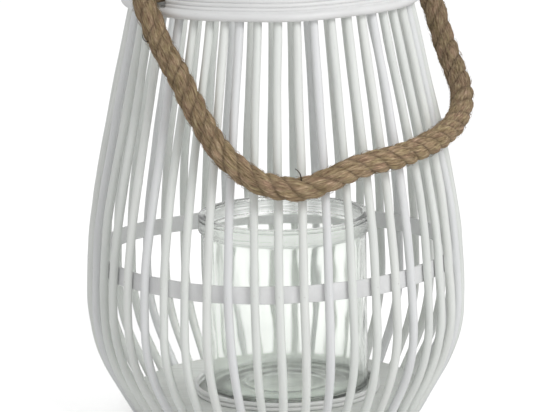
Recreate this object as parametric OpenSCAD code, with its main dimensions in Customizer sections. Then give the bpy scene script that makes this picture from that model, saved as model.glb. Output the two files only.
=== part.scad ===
// Hanging cane lantern: a barrel of bent cane ribs nailed to hoops, with a
// rope handle through the rim and a loose glass candle jar on the floor.
// Units are millimetres. +Z is up, the origin is at the centre of the base,
// and -Y is the front.

/* [Body] */
// Widest diameter, measured over the ribs
body_d = 280; // [220:1:340]
// Height of the widest place
widest_z = 87; // [60:1:120]
// Outer bending radius of a rib above the widest place
upper_bend_r = 515; // [300:1:900]
// Lean of a rib at the rim, in degrees
upper_lean = 12.5; // [0:0.5:25]
// Outer bending radius of a rib below the widest place
lower_bend_r = 115; // [60:1:200]
// Lean of a rib at its foot, in degrees
lower_lean = 30; // [10:0.5:45]

/* [Ribs] */
// Thickness of a cane rib where it is bent
rib_d = 6.3; // [3:0.1:10]
// Thickness of its straight ends, which are shaved a little
rib_end_d = 6.2; // [3:0.1:10]
// How far a shaved end reaches into the bend
rib_lap = 2; // [1:0.5:4]
// Turn of the first rib from the front, in degrees
rib_turn = 1; // [-3:0.5:3]
// Clearance between a rib and a hoop or cane that it is nailed to
seat = 0.2; // [0:0.05:0.5]

/* [Rim] */
// Height of the underside of the rim
rim_z = 307.5; // [250:0.5:360]
// Thickness of the two heavy rim canes
rim_cane_d = 6.5; // [4:0.1:10]
// Thickness of the fine canes between them
fine_cane_d = 3; // [2:0.1:5]
// Number of rows of fine cane
fine_rows = 7; // [3:1:12]
// Gap between two rows of cane
cane_gap = 0.05; // [0:0.01:0.3]
// Half the gap left in the fine canes at each rope hole, in degrees
fine_stop = 5.4; // [4:0.1:9]
// Thickness of the hoop inside the rim
hoop_t = 3; // [2:0.1:5]
// How far the hoop stays inside the rim's top and bottom
hoop_inset = 1.5; // [0:0.1:4]

/* [Band] */
// Height of the middle of the band
band_z = 116.5; // [80:0.5:160]
// Width of the band
band_w = 12.5; // [8:0.5:20]
// Thickness of the band
band_t = 2; // [1:0.1:4]

/* [Floor] */
// Height of the floor's underside above the rib feet
floor_z = 6; // [3:0.5:15]
// Thickness of the floor
floor_t = 8; // [4:0.5:15]
// Thickness of the canes of the ring around the jar
ring_cane_d = 3.3; // [2:0.1:6]
// Inner radius of the ring around the jar
ring_r = 66; // [62:0.5:80]
// Rows of cane in the ring around the jar
ring_rows = 2; // [1:1:4]

/* [Glass jar] */
// Height of the jar
jar_h = 134; // [100:1:170]
// Outer radius of the jar's wall
jar_r = 60.5; // [50:0.5:63]
// Outer radius of the jar's collar
collar_r = 64; // [55:0.5:64.5]
// Height of the collar
collar_h = 12; // [6:0.5:20]
// Height of the bead at the top of the collar
bead_h = 3; // [2:0.1:5]
// Thickness of the jar's wall
wall_t = 3.2; // [2:0.1:5]
// Thickness of the jar's base
base_t = 9; // [4:0.5:14]
// Radius of the jar's heel
heel_r = 6; // [2:0.5:10]
// Radius of the corner inside the jar
corner_r = 5; // [2:0.5:9]
// Radius of the hollow under the jar
punt_r = 46; // [30:1:50]
// Width of its sloping edge
punt_edge = 8; // [2:0.5:20]
// Depth of the hollow under the jar
punt_h = 2; // [1:0.1:4]
// Radius of the ridge pressed into the jar's base
ridge_r = 38; // [25:0.5:48]
// Height of that ridge
ridge_h = 1; // [0.5:0.1:2]
// How far the jar and its ring stand to the right of the middle
jar_shift = 7; // [0:0.1:7]

/* [Rope] */
// Thickness of the rope
rope_d = 17; // [10:0.5:22]
// Thickness of the rope where the hole in the rim squeezes it
neck_d = 16.8; // [10:0.1:22]
// How far the squeezed rope reaches into the bend
neck_lap = 1; // [0.5:0.1:2]
// Diameter of the rope holes in the hoop
hole_d = 18; // [12:0.5:24]
// Height of the rope holes above the underside of the rim
hole_up = 17; // [12:0.5:22]
// Direction of the right-hand rope hole, in degrees from +X
hole_az = 38.5; // [0:0.5:60]
// Distance from the axis to the middle of a knot
knot_at = 79.5; // [70:0.5:85]
// Radius of the turn of rope in a knot
knot_r = 8.5; // [6:0.1:12]
// Thickness of the rope where it is pulled tight in a knot
knot_d = 16; // [8:0.5:17]
// How far the rope's inner end reaches inward of the middle of a knot
tail = 9; // [8:0.5:14]
// Where the rope starts to bend outside the left-hand hole
bend_at = 107; // [105:0.5:115]
// Radius of that bend
bend_r = 13; // [11:0.5:20]
// Turn of the bend away from straight down, in degrees
bend_turn = 40; // [0:1:90]
// Where the straight rope ends outside the right-hand hole
straight_end = 110; // [108:0.5:118]

/* [Hidden] */
rib_n = 48;
step_az = 360 / rib_n;
body_r = body_d / 2;

// The rib's centre line: two arcs that meet at the widest place, each with a
// straight length beyond it
up_r = upper_bend_r - rib_d / 2;
lo_r = lower_bend_r - rib_d / 2;
up_cx = body_r - upper_bend_r;
lo_cx = body_r - lower_bend_r;
up_end_z = widest_z + up_r * sin(upper_lean);
up_end_x = up_cx + up_r * cos(upper_lean);
lo_end_z = widest_z - lo_r * sin(lower_lean);
lo_end_x = lo_cx + lo_r * cos(lower_lean);

function rib_x(z) =
    z >= up_end_z ? up_end_x - (z - up_end_z) * tan(upper_lean) :
    z >= widest_z ? up_cx + sqrt(up_r * up_r - (z - widest_z) * (z - widest_z)) :
    z >= lo_end_z ? lo_cx + sqrt(lo_r * lo_r - (widest_z - z) * (widest_z - z)) :
    lo_end_x - (lo_end_z - z) * tan(lower_lean);
function rib_lean(z) =
    z >= up_end_z ? upper_lean :
    z >= widest_z ? asin((z - widest_z) / up_r) :
    z >= lo_end_z ? asin((widest_z - z) / lo_r) : lower_lean;

// Radius at height z of something that lies a distance off from the rib's
// surface
function rib_half(z) = (z > up_end_z || z < lo_end_z ? rib_end_d : rib_d) / 2;
function inside(z, off) = rib_x(z) - (rib_half(z) + off) / cos(rib_lean(z));
function outside(z, off) = rib_x(z) + (rib_half(z) + off) / cos(rib_lean(z));

fine_z = rim_z + rim_cane_d;
fine_pitch = fine_cane_d + cane_gap;
top_cane_z = fine_z + fine_rows * fine_pitch + cane_gap;
rim_top = top_cane_z + rim_cane_d;
hole_z = rim_z + hole_up;
floor_top = floor_z + floor_t;
short_rib_top = rim_z + rim_cane_d;

// The ribs that stand under the two rope holes are the short ones
function rib_az(i) = -90 + rib_turn + i * step_az;
function turned(a) = a - 360 * floor((a + 180) / 360);
function is_short(i) = abs(turned(rib_az(i) - hole_az)) < 1
                    || abs(turned(rib_az(i) - hole_az - 180)) < 1;
function two(i) = i < 10 ? str("0", i) : str(i);
function rib_name(i) = str("rib_", two(i + 1));

// Ends of the rope between the two rim pieces, and the way it runs there
left_out = [-cos(hole_az), -sin(hole_az), 0];
left_side = [sin(hole_az), -cos(hole_az), 0];
left_way = sin(bend_turn) * left_side - [0, 0, cos(bend_turn)];
left_end = left_out * (bend_at + bend_r) + left_way * bend_r + [0, 0, hole_z];
right_out = [cos(hole_az), sin(hole_az), 0];
right_end = right_out * straight_end + [0, 0, hole_z];

// Hand-set points along the rope, from the left hole round the front to the
// right hole
rope_points = concat(
    [left_end, left_end + left_way * 9],
    [[-81, -89, 296], [-75, -95, 284.5], [-68, -102, 273.5],
     [-62, -108, 262], [-56, -113.5, 250], [-49.5, -119, 238.5],
     [-42.5, -124.5, 227], [-34.5, -129.5, 217], [-24, -134, 208],
     [-12, -137, 200], [1, -138.5, 196], [15, -138, 194],
     [29, -135, 196], [42, -130.5, 200.5], [55, -124.5, 205],
     [69, -117, 208], [83, -107, 209], [97, -93.5, 210.5], [110.5, -77, 213],
     [121.5, -55, 215], [130, -34, 217.5], [136, -15, 222.5],
     [139, 2, 229.5], [139, 18, 237], [136, 33, 245], [132.5, 47, 254],
     [129, 59, 263.5], [126, 69, 273.5], [123, 76, 284], [120, 79.5, 294],
     [116, 81, 304], [109, 80, 314], [99, 77.5, 321.5]],
    [right_end + right_out * 6, right_end]);

rope_sides = 12;
rope_n = len(rope_points);

// A smooth curve through the points
function spline(p0, p1, p2, p3, t) =
    0.5 * (2 * p1 + (p2 - p0) * t + (2 * p0 - 5 * p1 + 4 * p2 - p3) * t * t
    + (3 * p1 - p0 - 3 * p2 + p3) * t * t * t);
function at(i) = rope_points[max(0, min(rope_n - 1, i))];
function unit(v) = v / norm(v);
rope_line = concat(
    [for (i = [0 : rope_n - 2], k = [0 : 1])
        spline(at(i - 1), at(i), at(i + 1), at(i + 2), k / 2)],
    [at(rope_n - 1)]);
line_n = len(rope_line);
function way(i) =
    i == 0 ? left_way :
    i == line_n - 1 ? -right_out :
    unit(rope_line[i + 1] - rope_line[i - 1]);

// Frames carried along the rope without twist
function turn_frame(n, d) = unit(n - (n * d) * d);
function frames(i, n) =
    i >= line_n ? [] :
    let (m = turn_frame(n, way(i)))
    concat([m], frames(i + 1, m));
rope_normals = frames(0, unit(cross(way(0), [1, 0, 0])));
rope_skin = [for (i = [0 : line_n - 1])
    let (n = rope_normals[i], b = cross(way(i), n))
    for (k = [0 : rope_sides - 1])
        rope_line[i] + rope_d / 2
        * (cos(360 * k / rope_sides) * n + sin(360 * k / rope_sides) * b)];
rope_faces = concat(
    [[for (k = [rope_sides - 1 : -1 : 0]) k]],
    [for (i = [0 : line_n - 2], k = [0 : rope_sides - 1])
        let (a = i * rope_sides + k,
             b = i * rope_sides + (k + 1) % rope_sides)
        each [[a, b, b + rope_sides], [a, b + rope_sides, a + rope_sides]]],
    [[for (k = [0 : rope_sides - 1]) (line_n - 1) * rope_sides + k]]);

$fn = 96;

// A cane rib, bent in one plane and cut level at both ends
module rib(i) {
    top = is_short(i) ? short_rib_top : rim_top;
    up_len = (rim_top - up_end_z) / cos(upper_lean) + rib_lap + rib_d;
    lo_len = lo_end_z / cos(lower_lean) + rib_lap + rib_d;
    color("#e9e9e7")
    rotate([0, 0, rib_az(i)])
    intersection() {
        union() {
            // the two bends, which meet at the widest place
            translate([up_cx, 0, widest_z]) rotate([90, 0, 0])
                rotate_extrude(angle = upper_lean)
                    translate([up_r, 0]) circle(d = rib_d);
            translate([lo_cx, 0, widest_z]) rotate([90, 0, 0])
                rotate_extrude(angle = -lower_lean)
                    translate([lo_r, 0]) circle(d = rib_d);
            // the straight ends
            translate([up_end_x, 0, up_end_z]) rotate([0, -upper_lean, 0])
                translate([0, 0, -rib_lap])
                    cylinder(d = rib_end_d, h = up_len);
            translate([lo_end_x, 0, lo_end_z])
                rotate([0, 180 + lower_lean, 0]) translate([0, 0, -rib_lap])
                    cylinder(d = rib_end_d, h = lo_len);
        }
        translate([0, -rib_d, 0]) cube([body_r + rib_d, 2 * rib_d, top]);
    }
}

// A flat strip bent into a hoop that lies against the inside of the ribs
module inner_hoop(z0, z1, t) {
    rotate_extrude()
        polygon([[inside(z0, seat + t), z0], [inside(z0, seat), z0],
                 [inside(z1, seat), z1], [inside(z1, seat + t), z1]]);
}

// A ring of round cane that lies against the outside of the ribs
module outer_ring(z, d, from = 0, sweep = 360) {
    r = outside(z, seat + d / 2);
    translate([0, 0, z]) rotate([0, 0, from])
        rotate_extrude(angle = sweep) translate([r, 0]) circle(d = d);
}

// The wooden floor, bevelled to lie against the leaning ribs
module floor_disc() {
    color("#e4e4e1")
    rotate_extrude()
        polygon([[0, floor_z], [inside(floor_z, seat), floor_z],
                 [inside(floor_top, seat), floor_top], [0, floor_top]]);
}

module mid_band() {
    color("#dedee0")
    inner_hoop(band_z - band_w / 2, band_z + band_w / 2, band_t);
}

// The hoop inside the rim, bored across for the rope
module top_hoop() {
    color("#dedede")
    difference() {
        inner_hoop(rim_z + hoop_inset, rim_top - hoop_inset, hoop_t);
        translate([0, 0, hole_z]) rotate([0, 0, hole_az]) rotate([0, 90, 0])
            cylinder(d = hole_d, h = 3 * body_r, center = true);
    }
}

module lower_rim_cane() {
    color("#ececea") outer_ring(rim_z + rim_cane_d / 2, rim_cane_d);
}

module upper_rim_cane() {
    color("#ececea") outer_ring(top_cane_z + rim_cane_d / 2, rim_cane_d);
}

// Rows of fine cane, each stopped short of the two rope holes
module fine_rim_canes() {
    color("#e6e6e4")
    for (row = [0 : fine_rows - 1], half = [0, 180])
        outer_ring(fine_z + cane_gap + fine_cane_d / 2 + row * fine_pitch,
                   fine_cane_d, hole_az + half + fine_stop,
                   180 - 2 * fine_stop);
}

// Cane rings on the floor that keep the jar in the middle
module jar_ring() {
    color("#dcdcda")
    for (row = [0 : ring_rows - 1])
        translate([jar_shift, 0, floor_top + ring_cane_d / 2
                   + row * (ring_cane_d + cane_gap)])
            rotate_extrude() translate([ring_r + ring_cane_d / 2, 0])
                circle(d = ring_cane_d);
}

// The jar's outside, as half of its section
module jar_outline() {
    neck_z = jar_h - collar_h;
    groove_z = jar_h - bead_h;
    soft = 1;
    // foot with a rounded heel
    translate([0, 0]) square([jar_r - heel_r, heel_r]);
    translate([jar_r - heel_r, heel_r]) circle(r = heel_r);
    translate([0, heel_r]) square([jar_r, jar_h - heel_r - bead_h / 2]);
    // collar under the groove
    translate([0, neck_z + soft])
        square([collar_r, collar_h - bead_h - 2 * soft]);
    translate([0, neck_z]) square([collar_r - soft, collar_h - bead_h]);
    translate([collar_r - soft, neck_z + soft]) circle(r = soft);
    translate([collar_r - soft, groove_z - soft]) circle(r = soft);
    // bead round the mouth
    translate([0, groove_z]) square([collar_r - bead_h / 2, bead_h]);
    translate([collar_r - bead_h / 2, groove_z + bead_h / 2])
        circle(d = bead_h);
}

// The glass jar: straight wall, heavy base, collar and bead at the mouth
module glass_jar() {
    bore_r = jar_r - wall_t;
    lip = 1.5;
    color([0.78, 0.86, 0.83, 0.35])
    translate([jar_shift, 0, floor_top])
    difference() {
        rotate_extrude() intersection() {
            jar_outline();
            square([2 * collar_r, jar_h]);
        }
        // bore with a rounded corner at the bottom and an eased mouth
        rotate_extrude() union() {
            translate([0, base_t + corner_r])
                square([bore_r, jar_h]);
            translate([0, base_t]) square([bore_r - corner_r, jar_h]);
            translate([bore_r - corner_r, base_t + corner_r])
                circle(r = corner_r);
            difference() {
                translate([0, jar_h - lip]) square([bore_r + lip, 2 * lip]);
                translate([bore_r + lip, jar_h - lip]) circle(r = lip);
            }
        }
        // hollow under the base
        rotate_extrude()
            polygon([[0, -1], [punt_r, -1], [punt_r, 0],
                     [punt_r - punt_edge, punt_h], [0, punt_h]]);
    }
    // ridge pressed into the base
    color([0.78, 0.86, 0.83, 0.35])
    translate([jar_shift, 0, floor_top + base_t]) rotate_extrude()
        intersection() {
            translate([ridge_r, ridge_h - 3]) circle(r = 3);
            translate([0, -1]) square([2 * ridge_r, 1 + ridge_h]);
        }
}

// The knot inside the rim and the rope that passes the hole
module rope_neck(reach) {
    translate([knot_at, 0, 0]) rotate([0, 90, 0])
        rotate_extrude() translate([knot_r, 0]) circle(d = knot_d);
    translate([knot_at - tail, 0, 0]) rotate([0, 90, 0])
        cylinder(d = neck_d, h = reach - knot_at + tail);
}

module rope_end_left() {
    color("#a98b63")
    translate([0, 0, hole_z]) rotate([0, 0, hole_az + 180]) {
        rope_neck(bend_at + neck_lap);
        translate([bend_at, 0, 0]) rotate([90 + bend_turn, 0, 0])
            translate([0, -bend_r, 0]) rotate_extrude(angle = 90)
                translate([bend_r, 0]) circle(d = rope_d);
    }
}

module rope_end_right() {
    color("#a98b63")
    translate([0, 0, hole_z]) rotate([0, 0, hole_az])
        rope_neck(straight_end);
}

// The loop of rope between the two holes
module rope_handle() {
    color("#b3946b")
    polyhedron(points = rope_skin, faces = rope_faces, convexity = 8);
}

for (i = [0 : rib_n - 1]) rib(i);
floor_disc();
mid_band();
top_hoop();
lower_rim_cane();
upper_rim_cane();
fine_rim_canes();
jar_ring();
glass_jar();
rope_handle();
rope_end_left();
rope_end_right();
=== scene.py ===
import math

import bpy
import numpy as np
from mathutils import Matrix, Vector


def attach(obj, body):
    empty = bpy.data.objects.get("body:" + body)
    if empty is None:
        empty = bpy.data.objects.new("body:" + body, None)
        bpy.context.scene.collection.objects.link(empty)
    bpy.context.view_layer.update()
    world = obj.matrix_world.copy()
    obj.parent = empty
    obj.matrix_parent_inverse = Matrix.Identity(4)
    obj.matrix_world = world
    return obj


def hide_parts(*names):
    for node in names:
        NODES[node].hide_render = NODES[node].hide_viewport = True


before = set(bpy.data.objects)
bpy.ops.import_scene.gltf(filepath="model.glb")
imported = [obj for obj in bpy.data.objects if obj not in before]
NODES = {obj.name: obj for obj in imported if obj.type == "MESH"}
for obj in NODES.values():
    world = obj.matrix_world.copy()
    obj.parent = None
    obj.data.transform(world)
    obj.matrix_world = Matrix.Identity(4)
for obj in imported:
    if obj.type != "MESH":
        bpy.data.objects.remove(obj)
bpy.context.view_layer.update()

# ------------------------------------------------------------------ camera
# fitted to the photograph's outline, band and jar
ELEV, DIST, ROLL = math.radians(12.05), 2.756, math.radians(-0.97)
FOCAL_PX, PHOTO_WIDTH_PX = 3731.7, 550
TARGET = Vector((0.0003, 0.0, 0.153))
back = Vector((0.0, -math.cos(ELEV), math.sin(ELEV)))
level, upright = Vector((1, 0, 0)), Vector((0, math.sin(ELEV), math.cos(ELEV)))
right = math.cos(ROLL) * level + math.sin(ROLL) * upright
up = -math.sin(ROLL) * level + math.cos(ROLL) * upright
cam_data = bpy.data.cameras.new("camera")
cam_data.sensor_fit = "HORIZONTAL"
cam_data.sensor_width = 36.0
cam_data.lens = FOCAL_PX / PHOTO_WIDTH_PX * cam_data.sensor_width
cam_data.clip_start, cam_data.clip_end = 0.1, 50.0
cam = bpy.data.objects.new("camera", cam_data)
bpy.context.scene.collection.objects.link(cam)
cam.matrix_world = Matrix.Translation(TARGET + DIST * back) @ Matrix(
    (right, up, back)).transposed().to_4x4()
bpy.context.scene.camera = cam

# ------------------------------------------------------------------ sizes, in metres
RIB_N, RIB_TURN = 48, 1.0       # ribs, and how many degrees rib 1 is off the front
BODY_R, WIDE_Z = 0.140, 0.087   # outside radius of the ribs, and height, where widest
UP_BEND, UP_LEAN = 0.515, math.radians(12.5)   # bend of a rib and lean of its end
LO_BEND, LO_LEAN = 0.115, math.radians(30)
RIB_R = 0.00315
UP_R, LO_R = UP_BEND - RIB_R, LO_BEND - RIB_R
UP_CX, LO_CX = BODY_R - UP_BEND, BODY_R - LO_BEND
UP_Z = WIDE_Z + UP_R * math.sin(UP_LEAN)
UP_X = UP_CX + UP_R * math.cos(UP_LEAN)
LO_Z = WIDE_Z - LO_R * math.sin(LO_LEAN)
LO_X = LO_CX + LO_R * math.cos(LO_LEAN)
RIM_TOP = 0.3419
HOLE_Z, HOLE_AZ = 0.3245, math.radians(38.5)   # right hole, the left one is opposite
SEAT_GAP = 0.0002               # clearance of whatever seats against the ribs
FLOOR_TOP = 0.014
NAILED_FOOT, NAILED_RIM = 0.016, 0.305   # between these heights a rib is free to stray
BAND_Z, BAND_W, BAND_T = 0.1165, 0.0125, 0.002
LOWER_CANE_Z, UPPER_CANE_Z = 0.31075, 0.33865
HEAVY_D, HEAVY_R = 0.0065, 0.00322   # rim cane: of the solid, and as drawn
FINE_D, FINE_R = 0.003, 0.00166
FINE_FOOT, FINE_FIRST, FINE_STEP, FINE_ROWS = 0.314, 0.00155, 0.00305, 7
RIM_SEAT = 0.0031 + SEAT_GAP    # from a rib's centre line to the inside of a rim cane
RING_R, RING_CANE_R = 0.06765, 0.00162
RING_FIRST, RING_STEP = 0.00165, 0.00335
JAR_X = 0.007                   # jar and ring stand this far right of the middle
ROPE_R, KNOT_ROPE_R = 0.0085, 0.0076


def rib_x(z):
    """Radius of a rib's centre line at height z."""
    if z >= UP_Z:
        return UP_X - (z - UP_Z) * math.tan(UP_LEAN)
    if z >= WIDE_Z:
        return UP_CX + math.sqrt(UP_R ** 2 - (z - WIDE_Z) ** 2)
    if z >= LO_Z:
        return LO_CX + math.sqrt(LO_R ** 2 - (WIDE_Z - z) ** 2)
    return LO_X - (LO_Z - z) * math.tan(LO_LEAN)


def rib_lean(z):
    """Lean of a rib at height z, positive where it leans inward."""
    if z >= UP_Z:
        return UP_LEAN
    if z >= WIDE_Z:
        return math.asin((z - WIDE_Z) / UP_R)
    if z >= LO_Z:
        return -math.asin((WIDE_Z - z) / LO_R)
    return -LO_LEAN


def rib_azimuth(i):
    return math.radians(-90 + RIB_TURN + i * 360 / RIB_N)


def under_hole(a):
    """Whether the rib at azimuth a stands under one of the two rope holes."""
    off = math.degrees(a - HOLE_AZ) % 180
    return min(off, 180 - off) < 1


def free_part(z):
    """0 where a rib is nailed at foot and rim, 1 well away from them."""
    return np.clip((z - NAILED_FOOT) / 0.05, 0, 1) * np.clip((NAILED_RIM - z) / 0.05, 0, 1)


# ------------------------------------------------------------------ mesh helpers
def unit(v):
    return v / np.linalg.norm(v)


def tangents(points, closed=False):
    if closed:
        d = np.roll(points, -1, 0) - np.roll(points, 1, 0)
    else:
        d = np.gradient(points, axis=0)
    return d / np.linalg.norm(d, axis=1)[:, None]


def frames(points, closed=False, start=(0, 0, 1)):
    """Tangent, normal and side at each point, carried along without twist.

    start is roughly the first normal.
    """
    t = tangents(points, closed)
    n = [np.array(start, float)]
    for way in t:
        n.append(unit(n[-1] - (n[-1] @ way) * way))
    n = np.array(n[1:])
    return t, n, np.cross(t, n)


def new_object(name, verts, faces, uvs=None, smooth=True):
    """A mesh object. uvs holds one list of pairs per face."""
    mesh = bpy.data.meshes.new(name)
    mesh.from_pydata([tuple(v) for v in verts], [], faces)
    if uvs is not None:
        layer = mesh.uv_layers.new(name="UVMap")
        flat = np.empty((len(mesh.loops), 2), np.float32)
        at = 0
        for f in uvs:
            flat[at:at + len(f)] = f
            at += len(f)
        layer.data.foreach_set("uv", flat.ravel())
    mesh.polygons.foreach_set("use_smooth", [smooth] * len(mesh.polygons))
    mesh.update()
    obj = bpy.data.objects.new(name, mesh)
    bpy.context.scene.collection.objects.link(obj)
    return obj


def tube_data(points, radii, sides=14, closed=False, start=(0, 0, 1), cap=0.35,
              v0=0.0, frame_of=None):
    """A tube along points: vertices, faces and uvs (turn round, metres along + v0).

    radii is one number, one per ring, or rings by sides. cap is how far the
    rounded ends stand out, in radii, and None leaves the ends open.
    """
    points = np.asarray(points, float)
    t, n, b = frames(points, closed, start) if frame_of is None else frame_of
    rings = len(points)
    radii = np.asarray(radii, float)
    if radii.ndim == 0:
        radii = np.full(rings, float(radii))
    ang = 2 * math.pi * np.arange(sides) / sides
    r = radii[:, None] * np.ones(sides) if radii.ndim == 1 else radii
    v = points[:, None, :] + r[..., None] * (
        np.cos(ang)[None, :, None] * n[:, None, :]
        + np.sin(ang)[None, :, None] * b[:, None, :])
    verts = v.reshape(-1, 3)
    seg = np.linalg.norm(np.diff(points, axis=0), axis=1)
    along = np.concatenate([[0], np.cumsum(seg)]) + v0
    faces, uvs = [], []
    last = rings if closed else rings - 1
    for i in range(last):
        j = (i + 1) % rings
        va = along[i]
        vb = along[j] if j else va + np.linalg.norm(points[0] - points[i])
        for k in range(sides):
            m = (k + 1) % sides
            faces.append((i * sides + k, i * sides + m,
                          j * sides + m, j * sides + k))
            ua, ub = k / sides, (k + 1) / sides
            uvs.append([(ua, va), (ub, va), (ub, vb), (ua, vb)])
    if not closed and cap is not None:
        extra = []
        for end, sign in ((0, -1), (rings - 1, 1)):
            c = points[end]
            rr = r[end]
            ring_ids = [end * sides + k for k in range(sides)]
            inner = []
            for frac, out in ((0.86, 0.5), (0.5, 0.9)):
                ring = (c + sign * t[end] * rr.mean() * cap * out
                        + frac * rr[:, None] * (np.cos(ang)[:, None] * n[end]
                                                + np.sin(ang)[:, None] * b[end]))
                base = len(verts) + sum(len(e) for e in extra)
                extra.append(ring)
                ids = [base + k for k in range(sides)]
                prev = ring_ids if not inner else inner[-1]
                for k in range(sides):
                    m = (k + 1) % sides
                    q = (prev[k], prev[m], ids[m], ids[k])
                    faces.append(q if sign > 0 else q[::-1])
                    uvs.append([(0.5, along[end])] * 4)
                inner.append(ids)
            faces.append(tuple(inner[-1]) if sign > 0 else tuple(inner[-1][::-1]))
            uvs.append([(0.5, along[end])] * sides)
        verts = np.vstack([verts] + extra)
    return verts, faces, uvs


def join_data(parts):
    """Several (vertices, faces, uvs) as one."""
    verts, faces, uvs, base = [], [], [], 0
    for v, f, u in parts:
        verts.append(v)
        faces += [tuple(i + base for i in q) for q in f]
        uvs += u
        base += len(v)
    return np.vstack(verts), faces, uvs


def tube(name, points, radii, **kw):
    return new_object(name, *tube_data(points, radii, **kw))


def wobble(s, length, rng):
    """A smooth random wander along s, about 1 in size."""
    out = np.zeros_like(s)
    for a, w in ((1.0, 1.0), (0.6, 2.0), (0.35, 3.6)):
        out += a * np.sin(2 * math.pi * w * s / length * rng.uniform(0.8, 1.25)
                          + rng.uniform(0, 2 * math.pi))
    return out / 1.6


def ring_points(z, r, n, a0=0.0, a1=2 * math.pi, closed=True, dz=None, dr=None):
    """n points round the axis. dz and dr give a rise and a swell by azimuth."""
    a = np.linspace(a0, a1, n, endpoint=not closed)
    zz = np.full(n, z) + (dz(a) if dz else 0)
    rr = np.full(n, r) + (dr(a) if dr else 0)
    return np.stack([rr * np.cos(a), rr * np.sin(a), zz], 1)


# ------------------------------------------------------------------ materials
def material(name):
    """A material with only a Principled BSDF: itself, its node tree and the BSDF."""
    m = bpy.data.materials.new(name)
    m.use_nodes = True
    nt = m.node_tree
    nt.nodes.clear()
    out = nt.nodes.new("ShaderNodeOutputMaterial")
    bsdf = nt.nodes.new("ShaderNodeBsdfPrincipled")
    nt.links.new(bsdf.outputs[0], out.inputs[0])
    return m, nt, bsdf


def feed(nt, sock, value):
    """Links value to the input, or sets it if value is a constant."""
    if isinstance(value, (int, float, tuple)):
        sock.default_value = value
    else:
        nt.links.new(value, sock)


def node(nt, kind, inputs=None, **settings):
    """A new node. inputs holds constants or outputs by input number or name."""
    n = nt.nodes.new(kind)
    for k, v in settings.items():
        setattr(n, k, v)
    for k, v in (inputs or {}).items():
        feed(nt, n.inputs[k], v)
    return n


def noise(nt, vector, detail, rough=0.5, scale=1.0):
    return node(nt, "ShaderNodeTexNoise", {"Vector": vector, "Scale": scale, "Detail": detail,
                                           "Roughness": rough}).outputs[0]


def mapped(nt, vector, scale):
    return node(nt, "ShaderNodeMapping", {"Vector": vector, "Scale": scale}).outputs[0]


def span(nt, value, lo, hi, to_lo=0.0, to_hi=1.0):
    """Carries value from lo..hi to to_lo..to_hi."""
    return node(nt, "ShaderNodeMapRange",
                {0: value, 1: lo, 2: hi, 3: to_lo, 4: to_hi}).outputs[0]


def maths(nt, operation, a, b):
    return node(nt, "ShaderNodeMath", {0: a, 1: b}, operation=operation).outputs[0]


def mix_colour(nt, fac, a, b, kind="MIX"):
    return node(nt, "ShaderNodeMix", {0: fac, 6: a, 7: b}, data_type="RGBA",
                blend_type=kind).outputs[2]


def ramp(nt, fac, stops):
    """Colour ramp on fac, its stops given as (position, (r, g, b))."""
    r = node(nt, "ShaderNodeValToRGB", {0: fac})
    el = r.color_ramp.elements
    while len(el) < len(stops):
        el.new(0.5)
    for e, (p, c) in zip(el, stops):
        e.position = p
        e.color = (*c, 1)
    return r.outputs[0]


def bumps(nt, bsdf, *layers):
    """Bumps one over the other on the BSDF, each (height, strength, distance)."""
    last = bsdf
    for height, strength, distance in reversed(layers):
        b = node(nt, "ShaderNodeBump",
                 {"Height": height, "Strength": strength, "Distance": distance})
        nt.links.new(b.outputs[0], last.inputs["Normal"])
        last = b


def cane_paint(name, tone, use_uv=True, grain=1.0, around=12.0, mottle=0.93):
    """White paint over cane: faint long grain, thin places and specks."""
    m, nt, bsdf = material(name)
    tc = node(nt, "ShaderNodeTexCoord").outputs
    if use_uv:
        fine = mapped(nt, tc["UV"], (around, 55.0, 1.0))
        broad = mapped(nt, tc["UV"], (3.0, 22.0, 1.0))
    else:
        fine = mapped(nt, tc["Object"], (900.0, 900.0, 60.0))
        broad = mapped(nt, tc["Object"], (60.0, 60.0, 40.0))
    streaks = noise(nt, fine, 5.0, 0.65)
    clouds = noise(nt, broad, 3.0)
    specks = noise(nt, tc["Object"], 2.0, 0.6, scale=620.0)
    shade = ramp(nt, clouds, [(0.3, tuple(c * mottle for c in tone)), (0.62, tone)])
    thin = ramp(nt, streaks, [(0.28, (1, 1, 1)), (0.42, (0, 0, 0))])
    col = mix_colour(nt, thin, shade, (*[c * 0.88 for c in tone], 1))
    dirt = ramp(nt, specks, [(0.74, (0, 0, 0)), (0.80, (0.55, 0.55, 0.55))])
    col = mix_colour(nt, dirt, col, (0.42, 0.38, 0.32, 1))
    nt.links.new(col, bsdf.inputs["Base Color"])
    nt.links.new(span(nt, streaks, 0.3, 0.7, 0.34, 0.55), bsdf.inputs["Roughness"])
    bumps(nt, bsdf, (streaks, 0.22 * grain, 0.0004), (clouds, 0.25 * grain, 0.0012))
    return m


RIB_TONES = [(0.852, 0.876, 0.846), (0.842, 0.866, 0.836),
             (0.850, 0.860, 0.866), (0.868, 0.886, 0.856)]
RIB_MATS = [cane_paint("cane_paint_%d" % k, tone) for k, tone in enumerate(RIB_TONES)]
RIM_MAT = cane_paint("rim_cane_paint", (0.845, 0.847, 0.845), around=9.0, grain=0.8)
BAND_MAT = cane_paint("band_paint", (0.862, 0.865, 0.868), use_uv=False, grain=1.6,
                      mottle=0.87)
HOOP_MAT = cane_paint("hoop_paint", (0.80, 0.80, 0.795), use_uv=False)
RING_MAT = cane_paint("ring_paint", (0.82, 0.825, 0.815), around=8.0)


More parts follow.
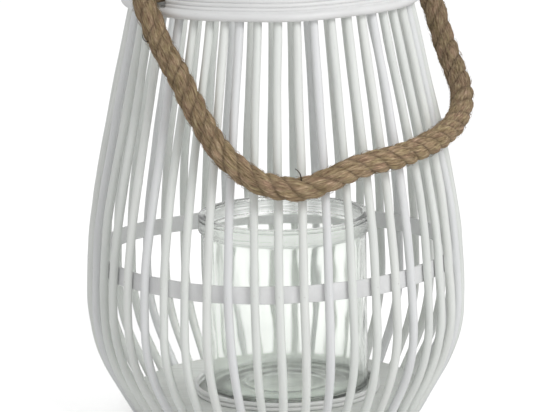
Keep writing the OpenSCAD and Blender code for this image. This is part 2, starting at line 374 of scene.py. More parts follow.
def floor_paint():
    """Painted board with a faint grain, and painted shade round the jar's foot."""
    m, nt, bsdf = material("floor_paint")
    place = node(nt, "ShaderNodeTexCoord").outputs["Object"]
    grain = noise(nt, mapped(nt, place, (14.0, 260.0, 60.0)), 6.0, 0.6)
    clouds = noise(nt, place, 4.0, scale=26.0)
    base = ramp(nt, clouds, [(0.35, (0.74, 0.765, 0.735)), (0.65, (0.80, 0.82, 0.79))])
    lines = ramp(nt, grain, [(0.36, (0.35, 0.35, 0.35)), (0.52, (0, 0, 0))])
    col = mix_colour(nt, lines, base, (0.62, 0.62, 0.59, 1))
    # painted shade in the gap between the jar's foot and the ring, and under the ring
    from_jar = node(nt, "ShaderNodeVectorMath", {0: place, 1: (1, 1, 0), 2: (-JAR_X, 0, 0)},
                    operation="MULTIPLY_ADD").outputs[0]
    away = node(nt, "ShaderNodeVectorMath", {0: from_jar}, operation="LENGTH")
    reach = span(nt, away.outputs["Value"], 0.050, 0.070)
    gap_shade = ramp(nt, reach, [(0.30, (1, 1, 1)), (0.50, (0.60, 0.60, 0.595)),
                            (0.80, (0.58, 0.58, 0.575)), (0.95, (1, 1, 1))])
    col = mix_colour(nt, 1.0, col, gap_shade, "MULTIPLY")
    nt.links.new(col, bsdf.inputs["Base Color"])
    bsdf.inputs["Roughness"].default_value = 0.6
    bumps(nt, bsdf, (grain, 0.3, 0.0006))
    return m


def jute(name, tones, grooved=True):
    """Twisted jute: pale and dark fibres that run along the rope.

    grooved is for the rope itself, whose mesh has the attributes fibre and groove.
    """
    m, nt, bsdf = material(name)
    if grooved:
        src = node(nt, "ShaderNodeAttribute", attribute_name="fibre").outputs["Vector"]
    else:
        src = node(nt, "ShaderNodeTexCoord").outputs["Object"]
    yarns = noise(nt, mapped(nt, src, (900.0, 900.0, 130.0)), 5.0, 0.72)
    hairs = noise(nt, mapped(nt, src, (2600.0, 2600.0, 160.0)), 3.0, 0.6)
    clumps = noise(nt, mapped(nt, src, (330.0, 330.0, 75.0)), 3.0, 0.55)
    patches = noise(nt, mapped(nt, src, (170.0, 170.0, 62.0)), 4.0, 0.7)
    deep, dark, mid, pale = tones
    col = ramp(nt, yarns, [(0.32, deep), (0.43, dark), (0.55, mid), (0.70, pale)])
    tint = ramp(nt, clumps, [(0.30, (0.74, 0.68, 0.66)), (0.44, (0.98, 1.00, 0.92)),
                             (0.58, (1.06, 1.00, 1.00)), (0.72, (1.25, 1.22, 1.18))])
    col = mix_colour(nt, 1.0, col, tint, "MULTIPLY")
    hue = ramp(nt, patches, [(0.36, (1.05, 0.985, 1.04)), (0.48, (1.0, 1.0, 1.0)),
                             (0.60, (0.985, 1.01, 0.93))])
    col = mix_colour(nt, 1.0, col, hue, "MULTIPLY")
    if grooved:
        # painted light and shade: the stretch that hangs in front is lighter, the ends darker,
        # most of all on the right
        along = node(nt, "ShaderNodeSeparateXYZ", {0: src}).outputs[2]
        lit_stretch = ramp(nt, span(nt, along, 0.0, 0.6), [
            (0.22, (0.96, 0.96, 0.96)), (0.42, (1.20, 1.20, 1.20)),
            (0.58, (1.18, 1.18, 1.18)), (0.72, (0.87, 0.87, 0.885))])
        col = mix_colour(nt, 1.0, col, lit_stretch, "MULTIPLY")
        # painted shade in the grooves, here and there hidden by frayed fibre
        groove = node(nt, "ShaderNodeAttribute", attribute_name="groove").outputs["Fac"]
        groove_shade = maths(nt, "MULTIPLY", groove, span(nt, clumps, 0.35, 0.60, 0.25, 1.0))
        col = mix_colour(nt, groove_shade, col, (*[c * 0.55 for c in dark], 1))
    nt.links.new(col, bsdf.inputs["Base Color"])
    bsdf.inputs["Roughness"].default_value = 0.9
    bsdf.inputs["Specular IOR Level"].default_value = 0.2
    bumps(nt, bsdf, (hairs, 0.7, 0.0006), (yarns, 0.9, 0.0012))
    return m


ROPE_MAT = jute("jute_rope", ((0.14, 0.092, 0.055), (0.27, 0.195, 0.123),
                              (0.42, 0.315, 0.205), (0.66, 0.54, 0.385)))
FIBRE_MAT = jute("jute_fibre", ((0.26, 0.20, 0.13), (0.34, 0.26, 0.18),
                                (0.42, 0.33, 0.23), (0.55, 0.45, 0.33)), grooved=False)
DARK_FIBRE = jute("jute_dark_fibre", ((0.03, 0.025, 0.02), (0.05, 0.04, 0.03),
                                      (0.08, 0.06, 0.05), (0.12, 0.09, 0.07)), grooved=False)

COLLAR_FROST = (FLOOR_TOP + 0.1185, FLOOR_TOP + 0.1215)   # heights from clear to frosted
BASE_FROST = (FLOOR_TOP + 0.016, FLOOR_TOP + 0.010)


def glass():
    """Pressed glass: smooth walls, a ribbed frosted collar and a slightly cloudy base."""
    m, nt, bsdf = material("clear_glass")
    place = node(nt, "ShaderNodeTexCoord").outputs["Object"]
    height = node(nt, "ShaderNodeSeparateXYZ", {0: place}).outputs[2]
    collar, base = span(nt, height, *COLLAR_FROST), span(nt, height, *BASE_FROST)
    waves = noise(nt, mapped(nt, place, (55.0, 55.0, 14.0)), 2.0, 0.4)
    rows = noise(nt, mapped(nt, place, (9.0, 9.0, 520.0)), 2.0)
    tint = ramp(nt, waves, [(0.3, (0.955, 0.978, 0.951)), (0.7, (0.965, 0.982, 0.961))])
    nt.links.new(mix_colour(nt, base, tint, (0.958, 0.990, 0.960, 1)),
                 bsdf.inputs["Base Color"])
    bsdf.inputs["Transmission Weight"].default_value = 1.0
    bsdf.inputs["IOR"].default_value = 1.47
    rough = span(nt, waves, 0.3, 0.7, 0.03, 0.10)
    for where, much in ((collar, 0.18), (base, 0.13)):
        rough = maths(nt, "ADD", rough, maths(nt, "MULTIPLY", where, much))
    nt.links.new(rough, bsdf.inputs["Roughness"])
    bumps(nt, bsdf, (waves, 0.10, 0.002), (maths(nt, "MULTIPLY", rows, collar), 0.35, 0.0008))
    return m


def nail_paint():
    """Paint over the nail heads, a little worn."""
    m, nt, bsdf = material("painted_nail")
    wear = noise(nt, node(nt, "ShaderNodeTexCoord").outputs["Object"], 3.0, scale=900.0)
    nt.links.new(ramp(nt, wear, [(0.4, (0.72, 0.72, 0.70)), (0.6, (0.84, 0.84, 0.82))]),
                 bsdf.inputs["Base Color"])
    bsdf.inputs["Roughness"].default_value = 0.4
    return m


FLOOR_MAT, GLASS_MAT, NAIL_MAT = floor_paint(), glass(), nail_paint()


def dress(obj, mat):
    obj.data.materials.clear()
    obj.data.materials.append(mat)
    return obj


# ------------------------------------------------------------------ rope
MOUTH = 0.0955                     # where the rope comes out of the inner hoop
BEND_AT, BEND_R = 0.107, 0.013     # its elbow over the left rim
BEND_WAY = math.radians(40)        # which runs this far off straight down
STRAIGHT_END = 0.110               # where it has left the right hole
LOOSE_REACH = 0.112                # no fibre stands off nearer the middle than this
LINE_STEP = 0.0011
left_out = np.array([-math.cos(HOLE_AZ), -math.sin(HOLE_AZ), 0])
left_side = np.array([math.sin(HOLE_AZ), -math.cos(HOLE_AZ), 0])
left_way = math.sin(BEND_WAY) * left_side - np.array([0, 0, math.cos(BEND_WAY)])
right_out = -left_out
hole = np.array([0, 0, HOLE_Z])
left_end = left_out * (BEND_AT + BEND_R) + left_way * BEND_R + hole
right_end = right_out * STRAIGHT_END + hole
# the centre line as photographed, and carried on above the crop, in millimetres
ROUTE = np.array([
    (-81, -89, 296), (-75, -95, 284.5), (-68, -102, 273.5),
    (-62, -108, 262), (-56, -113.5, 250), (-49.5, -119, 238.5),
    (-42.5, -124.5, 227), (-34.5, -129.5, 217), (-24, -134, 208),
    (-12, -137, 200), (1, -138.5, 196), (15, -138, 194),
    (29, -135, 196), (42, -130.5, 200.5), (55, -124.5, 205),
    (69, -117, 208), (83, -107, 209), (97, -93.5, 210.5), (110.5, -77, 213),
    (121.5, -55, 215), (130, -34, 217.5), (136, -15, 222.5),
    (139, 2, 229.5), (139, 18, 237), (136, 33, 245), (132.5, 47, 254),
    (129, 59, 263.5), (126, 69, 273.5), (123, 76, 284), (120, 79.5, 294),
    (116, 81, 304), (109, 80, 314), (99, 77.5, 321.5)]) / 1000.0
knots = np.vstack([left_end, left_end + left_way * 0.009, ROUTE,
                   right_end + right_out * 0.006, right_end])


def smooth_curve(p, sub):
    """A curve through the points p, with sub steps from each to the next."""
    out = []
    n = len(p)
    for i in range(n - 1):
        a, b, c, d = (p[max(0, min(n - 1, j))] for j in (i - 1, i, i + 1, i + 2))
        for k in range(sub):
            t = k / sub
            out.append(0.5 * (2 * b + (c - a) * t + (2 * a - 5 * b + 4 * c - d) * t * t
                              + (3 * b - a - 3 * c + d) * t ** 3))
    out.append(p[-1])
    return np.array(out)


def respace(p, step):
    """The same line with its points about one step apart."""
    seg = np.linalg.norm(np.diff(p, axis=0), axis=1)
    s = np.concatenate([[0], np.cumsum(seg)])
    n = max(2, int(round(s[-1] / step)) + 1)
    t = np.linspace(0, s[-1], n)
    return np.stack([np.interp(t, s, p[:, k]) for k in range(3)], 1)


elbow = [left_out * (BEND_AT + BEND_R * math.sin(a))
         + left_way * BEND_R * (1 - math.cos(a)) + hole
         for a in np.linspace(0, math.pi / 2, 14)[:-1]]
neck_l = [left_out * x + hole for x in np.linspace(MOUTH, BEND_AT, 8)[:-1]]
neck_r = [right_out * x + hole for x in np.linspace(STRAIGHT_END, MOUTH, 9)[1:]]
loop = respace(np.vstack([neck_l, elbow, smooth_curve(knots, 10), neck_r]), LINE_STEP)
for _ in range(3):
    loop[1:-1] = 0.25 * loop[:-2] + 0.5 * loop[1:-1] + 0.25 * loop[2:]


def ripples(theta, s, rng, count, turns, length, slant=0.0):
    """Random unevenness on a tube, periodic round it, about 1 in size."""
    out = np.zeros(np.broadcast(theta, s).shape)
    for _ in range(count):
        m = int(rng.integers(turns[0], turns[1] + 1))
        f = rng.uniform(1 / length[1], 1 / length[0]) * rng.choice((-1, 1))
        out += np.cos(m * (theta + slant * s) + 2 * math.pi * f * s + rng.uniform(0, 6.3))
    return out * math.sqrt(2.0 / count)


ROPE_SIDES = 84
FIBRE_SLANT = -9.0                 # turn of the surface fibres, in radians a metre
SQUEEZED = 0.114                   # the rim squeezes the rope inside this radius


def rope_mesh(name, line, radius, pitch, seed, phase=0.0):
    """Three-strand rope: one skin with three laid grooves and ridges of fibre.

    pitch gives the length of one lay at the distances s along the line.
    """
    rng = np.random.default_rng(seed)
    t, n, b = frames(line)
    seg = np.linalg.norm(np.diff(line, axis=0), axis=1)
    s = np.concatenate([[0], np.cumsum(seg)])
    rate = 2 * math.pi / pitch(s)
    twist = phase + np.concatenate([[0], np.cumsum(0.5 * (rate[1:] + rate[:-1]) * seg)])
    twist = twist + 0.20 * wobble(s, 0.07, rng)
    theta = 2 * math.pi * np.arange(ROPE_SIDES) / ROPE_SIDES
    local = (theta[None, :] - twist[:, None] + math.pi / 3) % (2 * math.pi)
    strand = np.minimum((local // (2 * math.pi / 3)).astype(int), 2)
    phi = local - strand * 2 * math.pi / 3 - math.pi / 3
    fat = np.stack([wobble(s, 0.055, rng) for _ in range(3)], 1)
    lift = np.take_along_axis(fat, strand, 1)
    a = 0.225 + 0.04 * lift
    c = 1.0 - a
    r = a * np.cos(phi) + np.sqrt(c * c - (a * np.sin(phi)) ** 2)
    edge = math.pi / 3 - np.abs(phi)
    r = r * (1 + 0.028 * lift) - 0.045 * np.exp(-edge / 0.10)
    th, ss = theta[None, :], s[:, None]
    r = r + (0.017 * ripples(th, ss, rng, 70, (14, 36), (0.008, 0.030), FIBRE_SLANT)
             + 0.013 * ripples(th, ss, rng, 24, (2, 7), (0.012, 0.050)))
    r = np.minimum(r, 1.07)
    reach = np.hypot(line[:, 0], line[:, 1])
    r = r * (1 - 0.065 * np.clip((SQUEEZED - reach) / 0.006, 0, 1))[:, None]
    verts, faces, uvs = tube_data(line, radius * r, sides=ROPE_SIDES, frame_of=(t, n, b))
    obj = new_object(name, verts, faces, uvs)
    slant = theta[None, :] + FIBRE_SLANT * s[:, None]
    skin = len(s) * ROPE_SIDES   # the vertices before those of the end caps
    fib = np.zeros((len(verts), 3), np.float32)
    fib[:skin, 0] = (np.cos(slant) * radius).ravel()
    fib[:skin, 1] = (np.sin(slant) * radius).ravel()
    fib[:skin, 2] = np.repeat(s, ROPE_SIDES)
    fib[skin:, 2] = np.linspace(0, 0.01, len(verts) - skin)
    att = obj.data.attributes.new("fibre", "FLOAT_VECTOR", "POINT")
    att.data.foreach_set("vector", fib.ravel())
    # how deep in a groove each point lies, where the material paints shade
    deep = np.zeros(len(verts), np.float32)
    deep[:skin] = np.exp(-edge / 0.20).ravel()
    att = obj.data.attributes.new("groove", "FLOAT", "POINT")
    att.data.foreach_set("value", deep)
    return obj


def loop_pitch(s):
    """The lay opens up in the right half of the loop."""
    return 0.0405 + 0.012 * np.clip((s - 0.30) / 0.10, 0, 1)


def knot_pitch(s):
    return np.full(len(s), 0.036)


rope = dress(rope_mesh("rope", loop, ROPE_R, loop_pitch, seed=4), ROPE_MAT)
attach(rope, "handle")

KNOT_R, KNOT_TURNS = 0.0086, 1.30
KNOT_IN, KNOT_DRIFT = 0.0846, 0.0052   # its distance from the middle, and how far it winds in


def knot(out):
    """The end of the rope turns once and a third round itself behind the hoop."""
    side = np.array([-out[1], out[0], 0.0])
    upright = np.array([0, 0, 1.0])

    def at(f):
        a = 2 * math.pi * KNOT_TURNS * f
        return (out * (KNOT_IN - KNOT_DRIFT * f) + hole
                + KNOT_R * (side * math.cos(a) + upright * math.sin(a)))

    path = [at(f) for f in np.linspace(0, 1, 16)]
    rise = [out * x + side * r + hole for x, r in
            zip(np.linspace(MOUTH, KNOT_IN + 0.0016, 5), KNOT_R * np.linspace(0, 1, 5) ** 2)]
    way = unit(path[-1] - path[-2])
    tail = [path[-1] + way * k for k in (0.004, 0.008)]
    return respace(smooth_curve(np.array(rise[:-1] + path + tail), 8), 0.0009)


knot_left, knot_right = (
    dress(rope_mesh(name, knot(out), KNOT_ROPE_R, knot_pitch, seed, phase=seed),
          ROPE_MAT)
    for name, out, seed in (("knot_left", left_out, 11), ("knot_right", right_out, 12)))
for k in (knot_left, knot_right):
    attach(k, "handle")

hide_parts("rope_handle")
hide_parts("rope_end_left")
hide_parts("rope_end_right")


FUZZ_COUNT, FUZZ_LENGTH, FUZZ_R = 4200, (0.0015, 0.0048), 0.00010


def hairs(name, line, count, seed):
    """Short fibres that stand off the rope where it hangs free of the rim."""
    rng = np.random.default_rng(seed)
    t, n, b = frames(line)
    parts = []
    for _ in range(count):
        i = int(rng.integers(4, len(line) - 4))
        if math.hypot(line[i][0], line[i][1]) < LOOSE_REACH:
            continue
        a = rng.uniform(0, 2 * math.pi)
        out = math.cos(a) * n[i] + math.sin(a) * b[i]
        way = t[i] * rng.choice((-1.0, 1.0)) * rng.uniform(0.4, 1.4)
        length = rng.uniform(*FUZZ_LENGTH)
        p0 = line[i] + out * ROPE_R * 0.90
        curl = unit(np.cross(out, t[i])) * rng.uniform(-0.6, 0.6)
        pts = []
        for f in np.linspace(0, 1, 5):
            pts.append(p0 + length * (f * (0.85 - 0.45 * f) * out + way * f * 0.6 * (0.6 + f)
                                      + curl * f * f))
        rad = FUZZ_R * rng.uniform(0.7, 1.5) * np.array([1.2, 1.1, 1.0, 0.8, 0.4])
        parts.append(tube_data(np.array(pts), rad, sides=3, start=t[i], cap=None))
    return new_object(name, *join_data(parts))


fuzz = dress(hairs("rope_fuzz", loop, FUZZ_COUNT, 31), FIBRE_MAT)
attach(fuzz, "handle")


def stray(name, near, bends, thick):
    """One loose yarn end by the rope's point nearest to near, bends given in mm."""
    p0 = loop[np.linalg.norm(loop - np.array(near), axis=1).argmin()]
    line = smooth_curve(p0 + np.array(bends) / 1000.0, 6)
    rad = thick * np.linspace(1.0, 0.55, len(line))
    o = dress(tube(name, line, rad, sides=6, start=(0, 1, 0.3)), DARK_FIBRE)
    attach(o, "handle")
    return o


strays = [
    stray("stray_middle", (0.018, -0.138, 0.194),
          [(1.0, -3, 6.5), (0.8, -4, 9.0), (0.2, -4, 11.5),
           (-1.2, -3.6, 13.6), (-3.2, -3.2, 15.2)], 0.00055),
    stray("stray_left", (-0.083, -0.087, 0.296),
          [(-5.0, -5, -3.0), (-7.0, -6, -3.4), (-8.6, -6, -2.4),
           (-9.6, -6, -0.6), (-10.0, -5, 1.6)], 0.00042),
]

# ------------------------------------------------------------------ ribs
# How far hand-bent ribs stray sideways at some heights, in tenths of a millimetre.
STRAY_Z = (0.012, 0.050, BAND_Z, 0.165, 0.210, 0.255, 0.298)
STRAY = {
    1: (18, 16, -1, -1, 3, 11, 27), 2: (25, 14, -3, 3, 10, 15, 30),
    3: (30, 15, -3, 5, 12, 15, 20), 4: (24, 13, 1, 5, 10, 16, 21),
    5: (35, 22, 7, 11, 15, 16, 22), 6: (28, 13, 9, 10, 11, 10, 16),
    7: (22, 9, -15, -14, -13, -3, -12), 8: (26, 9, -1, 1, 2, -10, -20),
    9: (24, 9, -20, -14, -5, -15, -25), 10: (22, 9, -25, -6, 15, 12, 0),
    17: (-14, -3, 0, -12, -14, -12, 0), 18: (-20, -6, 0, -16, -22, -20, -4),
    19: (-10, -3, 0, -16, -22, -22, 0), 20: (-19, -5, 0, -27, -36, -41, -45),
    21: (-17, -4, 0, -24, -33, -41, -47), 22: (-17, -4, 0, -19, -26, -32, -37),
    23: (-16, -4, 0, 3, -6, -13, -18), 24: (-16, -4, 0, -1, -12, -25, -32),
    25: (-16, -4, 0, -5, -14, -23, -29), 26: (-16, -4, 0, 14, 4, -4, -9),
    27: (-16, -4, 0, 16, 5, -2, -7), 28: (-17, -4, 0, -8, 0, 0, -4),
    29: (-18, -4, 0, 14, 8, 3, 0), 30: (-19, -5, 0, 5, 0, -2, -5),
    31: (-22, -5, 0, -26, -34, -38, -42), 32: (-25, -6, 0, -4, -12, -20, -22),
    40: (22, 10, 7, 22, 26, 28, 28), 41: (24, 11, -18, 20, 26, 16, 0),
    42: (22, 10, -1, 24, 28, 30, 20), 43: (21, 10, 6, 33, 55, 62, 62),
    44: (18, 10, 11, 24, 35, 56, 64), 45: (8, 5, 12, 23, 34, 49, 62),
    46: (12, 5, 10, 22, 32, 31, 44), 47: (33, 23, -12, -9, -2, 5, 20),
    48: (29, 16, -1, 1, 1, 6, 17)}
SMOOTH = np.hanning(15) / np.hanning(15).sum()
RIB_RINGS, RIB_SIDES = 84, 14


def rib_turns(i, z):
    """Azimuth of rib i at the heights z, with its sideways strays."""
    grid = np.linspace(0.0, RIM_TOP, RIB_RINGS)
    own = free_part(grid) * wobble(grid, 0.30, np.random.default_rng(100 + i))
    if i + 1 in STRAY:
        way = np.interp(grid, STRAY_Z, STRAY[i + 1]) * 1e-4
        way = np.convolve(np.pad(way, 7, mode="edge"), SMOOTH, "valid") + 0.0003 * own
    else:
        way = 0.0011 * own
    reach = np.array([rib_x(v) for v in grid])
    return rib_azimuth(i) + np.interp(z, grid, way / reach)


for i in range(RIB_N):
    name = "rib_%02d" % (i + 1)
    a = rib_azimuth(i)
    top = (FINE_FOOT if under_hole(a) else RIM_TOP) - 0.0004
    rng = np.random.default_rng(100 + i)
    z = np.linspace(0.0003, top, RIB_RINGS)
    off_band = np.abs(z - BAND_Z)
    proud = 0.0005 * free_part(z) * np.clip(off_band / 0.03, 0, 1) * wobble(z, 0.22, rng)
    x = np.array([rib_x(v) for v in z]) + proud
    at = rib_turns(i, z)
    pts = np.column_stack([x * np.cos(at), x * np.sin(at), z])
    thick = 1 + 0.035 * wobble(z, 0.16, rng) + rng.uniform(-0.02, 0.02)
    # one or two nodes, and never thicker than its solid where it is nailed
    for node_z in rng.uniform(0.03, 0.29, int(rng.integers(1, 3))):
        thick = thick + 0.045 * np.exp(-((z - node_z) / 0.0022) ** 2)
    thick = np.where((z < NAILED_FOOT) | (z > NAILED_RIM) | (off_band < 0.012),
                     np.minimum(thick, 1.0), thick)
    ang = 2 * math.pi * np.arange(RIB_SIDES) / RIB_SIDES
    oval = 1 + 0.02 * np.cos(2 * ang + rng.uniform(0, 6))
    verts, faces, uvs = tube_data(
        pts, (RIB_R * np.minimum(thick, 1.06))[:, None] * oval, sides=RIB_SIDES,
        start=(math.cos(a), math.sin(a), 0), cap=0.12, v0=rng.uniform(0, 9))
    # the ends are cut level
    verts[:, 2] = np.clip(verts[:, 2], 0.0, top + 0.0004)
    o = dress(new_object("cane_" + name, verts, faces, uvs), RIB_MATS[i * 7 % 4])
    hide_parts(name)
    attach(o, "cage")


# ------------------------------------------------------------------ rim canes
def rim_r(z, d):
    """Radius of a cane of thickness d that seats outside the ribs at height z."""
    return rib_x(z) + (RIM_SEAT + d / 2) / math.cos(UP_LEAN)


lift_phase = np.random.default_rng(7).uniform(0, 6.28, 4)


def rim_lift(a):
    """How far the wound canes rise and dip round the rim."""
    return 0.00028 * (np.sin(2 * a + lift_phase[0]) + 0.7 * np.sin(5 * a + lift_phase[1])
                      + 0.5 * np.sin(9 * a + lift_phase[2]))


HEAVY_RINGS, FINE_RINGS = 300, 150
for name, z, seed in (("lower_rim_cane", LOWER_CANE_Z, 21), ("upper_rim_cane", UPPER_CANE_Z, 22)):
    rng = np.random.default_rng(seed)
    pts = ring_points(z, rim_r(z, HEAVY_D), HEAVY_RINGS, dz=rim_lift)
    s = np.linspace(0, 1, HEAVY_RINGS, endpoint=False)
    rad = HEAVY_R * (1 + 0.02 * np.sin(2 * math.pi * 7 * s + rng.uniform(0, 6))
                     + 0.012 * np.sin(2 * math.pi * 17 * s + rng.uniform(0, 6)))
    o = dress(tube("wound_" + name, pts, rad, sides=18, closed=True), RIM_MAT)
    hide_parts(name)
    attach(o, "cage")

STOP = math.radians(5.4)   # the fine canes stop this far from the middle of a hole
HALVES = [(HOLE_AZ + half * math.pi + STOP, HOLE_AZ + (half + 1) * math.pi - STOP)
          for half in range(2)]
fine = []
for row in range(FINE_ROWS):
    z = FINE_FOOT + FINE_FIRST + row * FINE_STEP
    for half, (a0, a1) in enumerate(HALVES):
        rng = np.random.default_rng(50 + row * 2 + half)
        a0, a1 = a0 + rng.uniform(0, 0.006), a1 - rng.uniform(0, 0.006)
        pts = ring_points(z, rim_r(z, FINE_D), FINE_RINGS, a0, a1, closed=False, dz=rim_lift,
                          dr=lambda a: 0.00012 * np.sin(11 * a + row))
        s = np.linspace(0, 1, FINE_RINGS)
        rad = FINE_R * (1 + 0.03 * np.sin(2 * math.pi * 9 * s + rng.uniform(0, 6)))
        fine.append(tube_data(pts, rad, sides=12, cap=0.3, v0=rng.uniform(0, 5)))
# paint bridges the gaps between the rows: heights, and how far outside the ribs' centres
FILL = [(0.3128, 0.0083), (0.3138, 0.0073), (0.3148, 0.0058), (0.3158, 0.0054),
        (0.3220, 0.0054), (0.3290, 0.0054), (0.3340, 0.0054), (0.3352, 0.0058),
        (0.3360, 0.0073), (0.3368, 0.0083)]
fills = len(FILL)
for a0, a1 in HALVES:
    a = np.linspace(a0 + 0.004, a1 - 0.004, FINE_RINGS)
    v = np.array([[(rib_x(z) + d) * math.cos(t), (rib_x(z) + d) * math.sin(t),
                   z + 0.6 * rim_lift(t)] for t in a for z, d in FILL])
    f = [(j * fills + k, (j + 1) * fills + k, (j + 1) * fills + k + 1, j * fills + k + 1)
         for j in range(FINE_RINGS - 1) for k in range(fills - 1)]
    fine.append((v, f, [[((q // fills) * 0.01, FILL[q % fills][0]) for q in face]
                        for face in f]))
o = dress(new_object("wound_fine_canes", *join_data(fine)), RIM_MAT)
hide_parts("fine_rim_canes")
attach(o, "cage")

# ------------------------------------------------------------------ ring round the jar
rings = []
for row in range(2):
    z = FLOOR_TOP + RING_FIRST + row * RING_STEP
    pts = ring_points(z, RING_R, 200, dr=lambda a: 0.00015 * np.sin(7 * a + 2 * row))
    pts[:, 0] += JAR_X
    rings.append(tube_data(pts, RING_CANE_R, closed=True))
o = dress(new_object("ring_canes", *join_data(rings)), RING_MAT)
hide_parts("jar_ring")
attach(o, "cage")

# ------------------------------------------------------------------ band
# How much higher the hand-nailed band runs at some azimuths, in tenths of a millimetre.
BAND_AZ = (0, 25, 55, 82, 122, 138, 147, 175, 200, 217,
           234, 243, 259, 270, 286, 302, 314, 325, 360)
BAND_UP = (25, 27, 22, 10, 6, 14, 22, 25, 20, 10,
           7, 2, -3, 0, 5, 8, 15, 22, 25)
BAND_SEG = 360


def band_up(a):
    """Rise of the band at the azimuths a, in radians."""
    grid = np.arange(-20, 381)
    rise = np.interp(grid % 360, BAND_AZ, BAND_UP) * 1e-4
    return np.interp(np.degrees(a) % 360, grid[10:-10],
                     np.convolve(rise, np.hanning(21) / np.hanning(21).sum(), "valid"))


# its section: depth behind the ribs and height, with rounded corners
ROUND = 0.0004
section = [(sx * (BAND_T / 2 - ROUND) + ROUND * math.cos(t) + BAND_T / 2,
            sz * (BAND_W / 2 - ROUND) + ROUND * math.sin(t))
           for sx, sz, t0 in ((1, 1, 0), (-1, 1, 90), (-1, -1, 180), (1, -1, 270))
           for t in np.radians(t0 + np.array([0, 30, 60, 90]))]
sides, around = len(section), np.linspace(0, 2 * math.pi, BAND_SEG, endpoint=False)
band_rng = np.random.default_rng(31)
edge = 0.00012 * np.stack([np.sin(k * around[:, None] + band_rng.uniform(0, 6.28, 2))
                           for k in (7, 12, 19)]).sum(0)
verts = []
for j, (a, rise) in enumerate(zip(around, band_up(around))):
    for depth, high in section:
        z = BAND_Z + rise + high + edge[j, int(high > 0)]
        r = rib_x(z) - (RIB_R + SEAT_GAP + depth) / math.cos(rib_lean(z))
        verts.append((r * math.cos(a), r * math.sin(a), z))
faces = []
for j in range(BAND_SEG):
    here, there = j * sides, (j + 1) % BAND_SEG * sides
    for k in range(sides):
        m = (k + 1) % sides
        faces.append((here + k, here + m, there + m, there + k))
o = dress(new_object("nailed_band", verts, faces), BAND_MAT)
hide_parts("mid_band")
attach(o, "cage")

# hoop and floor keep their CAD meshes
for name, mat in (("top_hoop", HOOP_MAT), ("floor_disc", FLOOR_MAT)):
    NODES[name].data.materials.clear()
    NODES[name].data.materials.append(mat)


# ------------------------------------------------------------------ glass jar
def arc(cx, cz, r, a0, a1, n):
    """n points of an arc round (cx, cz), its angles in degrees."""
    return [(cx + r * math.cos(math.radians(a)), cz + r * math.sin(math.radians(a)))
            for a in np.linspace(a0, a1, n)]


# The profile runs from the middle of the foot round the lip to the inside of the bottom.
WALL_OUT, BORE, BASE = 0.0605, 0.0573, 0.0052   # radii of the wall, height of the bottom
BASE_ROUND = 0.0032
LIP_Z, LIP_ROUND = 0.1325, 0.0015
COLLAR_OUT = 0.063
outer = [(0.0, 0.002), (0.020, 0.002), (0.0378, 0.002), (0.0402, 0.0013), (0.0438, 0.0004),
         (0.0462, 0.0), (0.050, 0.0)]
outer += arc(0.0545, 0.006, 0.006, -90, 0, 9)
outer += [(WALL_OUT, v) for v in np.linspace(0.012, 0.119, 26)]
outer += [(WALL_OUT, 0.1213), (WALL_OUT + 0.0006, 0.12185)]
outer += arc(COLLAR_OUT, 0.123, 0.001, -90, 0, 5)
outer += arc(COLLAR_OUT, 0.130, 0.001, 0, 90, 5)
outer += [(0.06262, 0.1311)]
outer += arc(0.0625, LIP_Z, LIP_ROUND, -60, 90, 8)
inner = arc(BORE + LIP_ROUND, LIP_Z, LIP_ROUND, 90, 180, 5)
inner += [(BORE, v) for v in np.linspace(0.129, 0.016, 28)]
inner += [(BORE, 0.0120)]
inner += arc(BORE - BASE_ROUND, BASE + BASE_ROUND, BASE_ROUND, 0, -90, 8)
inner += [(0.049, BASE), (0.042, BASE), (0.0342, BASE)]
inner += arc(0.031, BASE - 0.002, 0.003, 45, 135, 7)   # the faint ring in the bottom
inner += [(0.0278, BASE), (0.023, BASE), (0.016, BASE - 0.0001),
          (0.008, BASE - 0.0001), (0.0, BASE)]
profile = outer + inner
JAR_SEG = 224
ph = np.random.default_rng(9).uniform(0, 6.28, 12)


def ripple(a, z, inside):
    """Pressed glass is never quite even, mostly on its inner wall."""
    fade = np.clip((z - 0.012) / 0.02, 0, 1) * np.clip((0.118 - z) / 0.01, 0, 1)
    w = (0.55 * math.sin(5 * a + ph[0] + 9 * z / 0.1) + 0.5 * math.sin(9 * a + ph[1] - 26 * z)
         + 0.45 * math.sin(14 * a + ph[2] + 2.2 * math.sin(60 * z + ph[3]))
         + 0.35 * math.sin(23 * a + ph[4] + 1.6 * math.sin(85 * z + ph[5])))
    return (0.00010 if inside else 0.00003) * fade * w


# the profile's first and last points lie on the axis and are one vertex each
verts, faces, first = [], [], []
for j, (r, z) in enumerate(profile):
    first.append(len(verts))
    if r == 0:
        verts.append((JAR_X, 0.0, FLOOR_TOP + z))
        continue
    for k in range(JAR_SEG):
        a = 2 * math.pi * k / JAR_SEG
        rr = r
        if 0.010 < z < 0.121 and r > 0.055:
            rr = r + ripple(a, z, j >= len(outer))
        verts.append((JAR_X + rr * math.cos(a), rr * math.sin(a), FLOOR_TOP + z))
for j in range(len(profile) - 1):
    here, there = first[j], first[j + 1]
    for k in range(JAR_SEG):
        m = (k + 1) % JAR_SEG
        if profile[j][0] == 0:
            faces.append((here, there + m, there + k))
        elif profile[j + 1][0] == 0:
            faces.append((here + k, here + m, there))
        else:
            faces.append((here + k, here + m, there + m, there + k))
jar = dress(new_object("pressed_jar", verts, faces), GLASS_MAT)
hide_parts("glass_jar")
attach(jar, "jar")
# clear glass hardly shades what stands behind it
jar.visible_shadow = False

# ------------------------------------------------------------------ nails
NAIL_R, NAIL_H, NAIL_IN = 0.0006, 0.0002, 0.0012   # head, and how deep it sits
FLOOR_NAIL_Z = 0.0102


def nail(point, way):
    """A small domed nail head at point, facing way."""
    way = unit(np.array(way, float))
    line = np.array([point - way * NAIL_IN, point,
                     point + way * NAIL_H * 0.6, point + way * NAIL_H])
    return tube_data(line, NAIL_R * np.array([0.9, 1, 0.85, 0.35]), sides=10, cap=0.2)


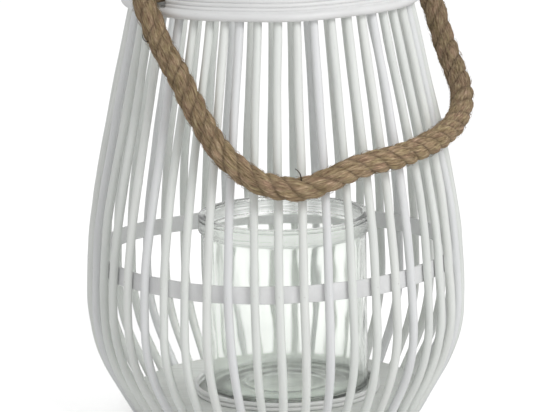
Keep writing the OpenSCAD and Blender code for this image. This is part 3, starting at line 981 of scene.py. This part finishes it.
nails = []
nail_rng = np.random.default_rng(77)
for i in range(RIB_N):
    for z in (FLOOR_NAIL_Z, BAND_Z):
        zz = z + nail_rng.uniform(-0.0015, 0.0015)
        a = float(rib_turns(i, zz))
        if z == BAND_Z:
            zz += float(band_up(a))
        lean = rib_lean(zz)
        r = rib_x(zz) + RIB_R / math.cos(lean) - 0.0001
        way = (math.cos(a) * math.cos(lean), math.sin(a) * math.cos(lean), math.sin(lean))
        nails.append(nail(np.array([r * math.cos(a), r * math.sin(a), zz]), way))
o = dress(new_object("nails", *join_data(nails)), NAIL_MAT)
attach(o, "cage")

# ------------------------------------------------------------------ stage and light
GROUND_SIZE, GROUND_Z, GROUND_CELLS = 9.0, -0.0002, 24
GROUND_GLOW, AMBIENT, KEY_WATTS = 0.50, 0.54, 36


def plane(name, size, z, n):
    """A square of n by n faces round the axis."""
    v = [(size * (i / n - 0.5), size * (j / n - 0.5), z)
         for j in range(n + 1) for i in range(n + 1)]
    f = [(k, k + 1, k + n + 2, k + n + 1)
         for k in (j * (n + 1) + i for j in range(n) for i in range(n))]
    return new_object(name, v, f, smooth=False)


def any_ray(nt, *kinds):
    """1 for a ray of one of these kinds, else 0."""
    path = node(nt, "ShaderNodeLightPath").outputs
    found = path[kinds[0]]
    for kind in kinds[1:]:
        found = maths(nt, "MAXIMUM", found, path[kind])
    return found


# the ground is burnt out to white where it is seen, straight or through glass
ground = plane("ground", GROUND_SIZE, GROUND_Z, GROUND_CELLS)
ground_mat, nt, bsdf = material("white_ground")
bsdf.inputs["Base Color"].default_value = (0.92, 0.92, 0.92, 1)
bsdf.inputs["Roughness"].default_value = 0.9
bsdf.inputs["Specular IOR Level"].default_value = 0.1
strength = maths(nt, "MULTIPLY", any_ray(nt, "Is Camera Ray", "Is Transmission Ray"),
                 GROUND_GLOW)
glow = node(nt, "ShaderNodeEmission", {"Color": (1, 1, 1, 1), "Strength": strength})
add = node(nt, "ShaderNodeAddShader", {0: bsdf.outputs[0], 1: glow.outputs[0]})
nt.links.new(add.outputs[0], nt.nodes["Material Output"].inputs[0])
ground.data.materials.append(ground_mat)

# the studio lights dimly but is seen as white
world = bpy.data.worlds.new("studio")
bpy.context.scene.world = world
world.use_nodes = True
nt = world.node_tree
nt.nodes.clear()
out = nt.nodes.new("ShaderNodeOutputWorld")
ambient, white = (
    node(nt, "ShaderNodeBackground", {"Color": (1, 1, 1, 1), "Strength": strength}).outputs[0]
    for strength in (AMBIENT, 1.0))
choose = node(nt, "ShaderNodeMixShader", {
    0: any_ray(nt, "Is Camera Ray", "Is Transmission Ray", "Is Glossy Ray"),
    1: ambient, 2: white})
nt.links.new(choose.outputs[0], out.inputs[0])

key_data = bpy.data.lights.new("key", "AREA")
key_data.shape = "SQUARE"
key_data.size = 1.1
key_data.energy = KEY_WATTS
key = bpy.data.objects.new("key", key_data)
bpy.context.scene.collection.objects.link(key)
key.location = (1.5, -2.0, 2.1)
key.rotation_euler = (Vector((0, 0, 0.16)) - key.location).to_track_quat("-Z", "Y").to_euler()

bpy.context.scene.view_settings.view_transform = "Standard"
